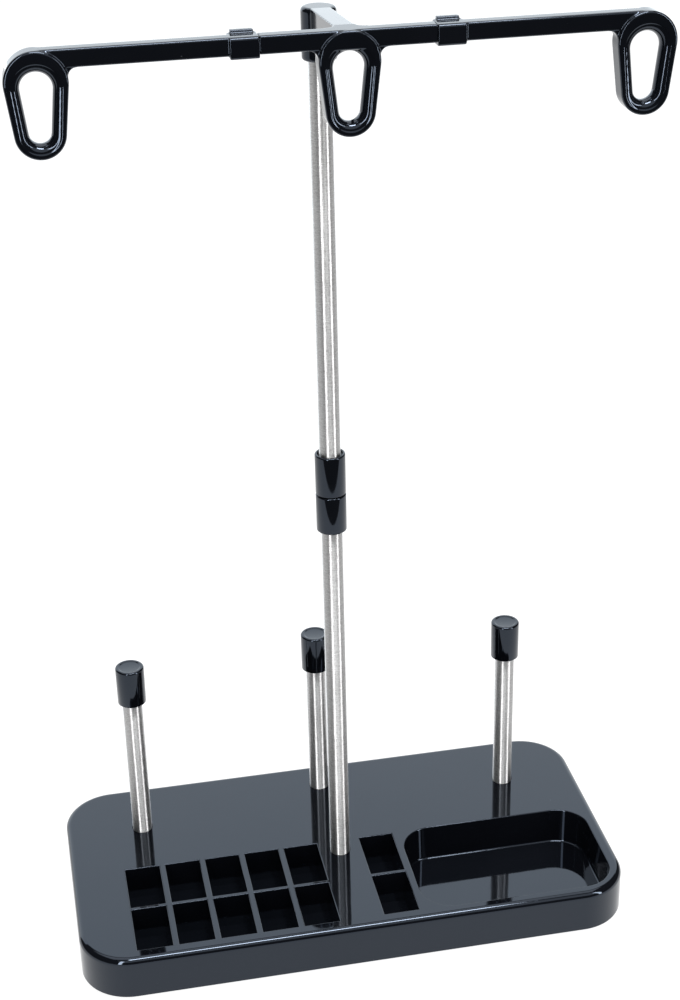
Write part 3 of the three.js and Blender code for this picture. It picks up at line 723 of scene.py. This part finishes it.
def rubber():
    finish = Finish("black_rubber")
    grain = finish.noise(1800, 3, 0.6)
    wear = finish.noise(130, 4, 0.55)
    finish.link(finish.ramp(wear, [(0.3, (0.012, 0.012, 0.013)), (0.75, (0.03, 0.03, 0.031))]),
                finish.shader.inputs["Base Color"])
    finish.link(finish.spread(wear, 0.72, 0.92, 0.3, 0.7), finish.shader.inputs["Roughness"])
    finish.bump(grain, 0.00012, 0.5)
    return finish.material


POLISHED, MOULDED = (0.03, 0.07), (0.045, 0.1)   # lowest and highest roughness
BASE_PLASTIC = gloss_plastic("base_plastic", POLISHED, (0.0014, 0.0017, 0.0026), (0.0026, 0.003, 0.0043))
GUIDE_PLASTIC = gloss_plastic("guide_plastic", MOULDED, (0.0014, 0.0016, 0.0024), (0.0026, 0.0029, 0.004))
CAP_PLASTIC = gloss_plastic("cap_plastic", MOULDED, (0.0014, 0.0016, 0.0023), (0.0026, 0.0029, 0.0038))
STEEL = brushed_steel()
ZINC = zinc_steel()
NYLON = nylon()
RUBBER = rubber()


# ------------------------------------------------------------------ placing the pieces

def dress(made, finish):
    made.data.materials.clear()
    made.data.materials.append(finish)


def place(made, body, finish, node):
    smooth_faces(made)
    dress(made, finish)
    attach(made, body)
    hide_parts(node)


place(base_shell(), "base", BASE_PLASTIC, "base_shell")
for foot in FEET:
    place(crisp(rubber_foot(foot)), "base", RUBBER, f"rubber_foot_{foot}")
for pin in ("left", "middle", "right"):
    place(crisp(steel_tube(f"{pin}_pin_tube")), "base", STEEL, f"{pin}_pin_tube")
    place(crisp(pin_cap(f"{pin}_pin_cap")), "base", CAP_PLASTIC, f"{pin}_pin_cap")
place(crisp(steel_tube("pole_lower_tube")), "base", STEEL, "pole_lower_tube")
place(crisp(steel_tube("pole_upper_tube")), "upper_pole", STEEL, "pole_upper_tube")
place(crisp(lower_collar()), "base", CAP_PLASTIC, "pole_lower_collar")
place(crisp(coupling_nut()), "coupling_nut", CAP_PLASTIC, "pole_coupling_nut")
place(guide_head(), "thread_guide", GUIDE_PLASTIC, "guide_head")
place(side_arm("guide_arm_left", -1), "thread_guide", GUIDE_PLASTIC, "guide_arm_left")
place(side_arm("guide_arm_right", 1), "thread_guide", GUIDE_PLASTIC, "guide_arm_right")

for node, made in frame["nodes"].items():
    if node.endswith("_plug"):
        dress(made, NYLON)
    elif node.endswith(("_washer", "_screw")):
        dress(made, ZINC)


# ------------------------------------------------------------------ studio
# Lengths in the studio are in metres, powers in watts.

FLOOR_SIZE, FLOOR_FRONT = 6.0, -0.27     # black pieces high up mirror the dark in front of the floor
FLOOR_GLOW = 0.93
ROOM_GLOW, BACKDROP_GLOW = 0.075, 1.05   # as the pieces see the room, as the camera sees it
CAMERA_PLACE = (-0.10338, -0.57684, 0.46090)
CAMERA_YAW, CAMERA_PITCH, CAMERA_ROLL = -10.639, 26.686, -1.313
CAMERA_LENS, CAMERA_SHIFT = 67.56, (-0.0024, -0.0048)


def floor():
    size, front = FLOOR_SIZE, FLOOR_FRONT
    points = [(-size, front, 0), (size, front, 0), (size, size, 0), (-size, size, 0)]
    made = new_object("floor", [[c / MM for c in point] for point in points], [[0, 1, 2, 3]])
    finish = Finish("white_floor")
    cloud = finish.noise(3, 2, 0.5)
    finish.link(finish.ramp(cloud, [(0.2, (0.17, 0.17, 0.17)), (0.8, (0.2, 0.2, 0.2))]),
                finish.shader.inputs["Base Color"])
    finish.fixed(Roughness=0.9, Specular_IOR_Level=0.0)
    finish.fixed(Emission_Strength=FLOOR_GLOW, Emission_Color=(1, 1, 1, 1))
    dress(made, finish.material)


def softbox(name, place_m, target_m, width, height, power, colour=(1, 1, 1)):
    light = bpy.data.lights.new(name, "AREA")
    light.shape = "RECTANGLE"
    light.size, light.size_y = width, height
    light.energy = power
    light.color = colour
    made = bpy.data.objects.new(name, light)
    bpy.context.scene.collection.objects.link(made)
    made.location = place_m
    made.rotation_euler = (Vector(target_m) - Vector(place_m)).to_track_quat("-Z", "Y").to_euler()
    made.visible_camera = False


def around(azimuth, distance, height):
    """A point in front of the stand, turned from -Y towards +X."""
    turn = math.radians(azimuth)
    return distance * math.sin(turn), -distance * math.cos(turn), height


def lights():
    """Each softbox by its place, the point it faces, its width, height and power."""
    softbox("back_panel", (0, 2.3, 1.15), (0, 0, 0.75), 4.6, 2.3, 62, (0.88, 0.95, 1.0))
    softbox("overhead", (0, 0.35, 1.5), (0, 0.1, 0), 1.5, 1.1, 9)
    softbox("front_panel", around(5, 0.9, 1.15), (0, 0, 0.25), 1.6, 0.9, 5)
    softbox("key", (0.07, -0.33, 1.25), (0, 0, 0.1), 0.55, 0.2, 11)
    softbox("strip_left", around(-31, 1.05, 0.55), (0, 0, 0.3), 0.13, 1.05, 6.2)
    softbox("strip_right", around(49, 1.05, 0.55), (0, 0, 0.3), 0.12, 1.05, 5.8)


def surroundings():
    """A dim room for light and reflections; the camera sees a light grey past the floor's edge."""
    world = bpy.data.worlds.new("studio")
    world.use_nodes = True
    tree = world.node_tree
    background = tree.nodes["Background"]
    background.inputs["Color"].default_value = (0.93, 0.96, 1.0, 1)
    background.inputs["Strength"].default_value = ROOM_GLOW
    bright = tree.nodes.new("ShaderNodeBackground")
    bright.inputs["Strength"].default_value = BACKDROP_GLOW
    path = tree.nodes.new("ShaderNodeLightPath")
    mix = tree.nodes.new("ShaderNodeMixShader")
    tree.links.new(path.outputs["Is Camera Ray"], mix.inputs["Fac"])
    tree.links.new(background.outputs["Background"], mix.inputs[1])
    tree.links.new(bright.outputs["Background"], mix.inputs[2])
    tree.links.new(mix.outputs["Shader"], tree.nodes["World Output"].inputs["Surface"])
    bpy.context.scene.world = world


def camera():
    """A tall view from the front left and above."""
    data = bpy.data.cameras.new("camera")
    data.sensor_fit = "AUTO"
    data.sensor_width = 36
    data.lens = CAMERA_LENS
    data.shift_x, data.shift_y = CAMERA_SHIFT
    data.clip_start, data.clip_end = 0.05, 50
    made = bpy.data.objects.new("camera", data)
    bpy.context.scene.collection.objects.link(made)
    yaw, pitch, roll = (math.radians(a) for a in (CAMERA_YAW, CAMERA_PITCH, CAMERA_ROLL))
    turn = Matrix.Rotation(yaw, 4, "Z")
    turn @= Matrix.Rotation(math.pi / 2 - pitch, 4, "X")
    turn @= Matrix.Rotation(roll, 4, "Z")
    made.matrix_world = Matrix.Translation(Vector(CAMERA_PLACE)) @ turn
    bpy.context.scene.camera = made


floor()
lights()
surroundings()
camera()
bpy.context.scene.view_settings.view_transform = "Standard"
bpy.context.scene.view_settings.look = "None"
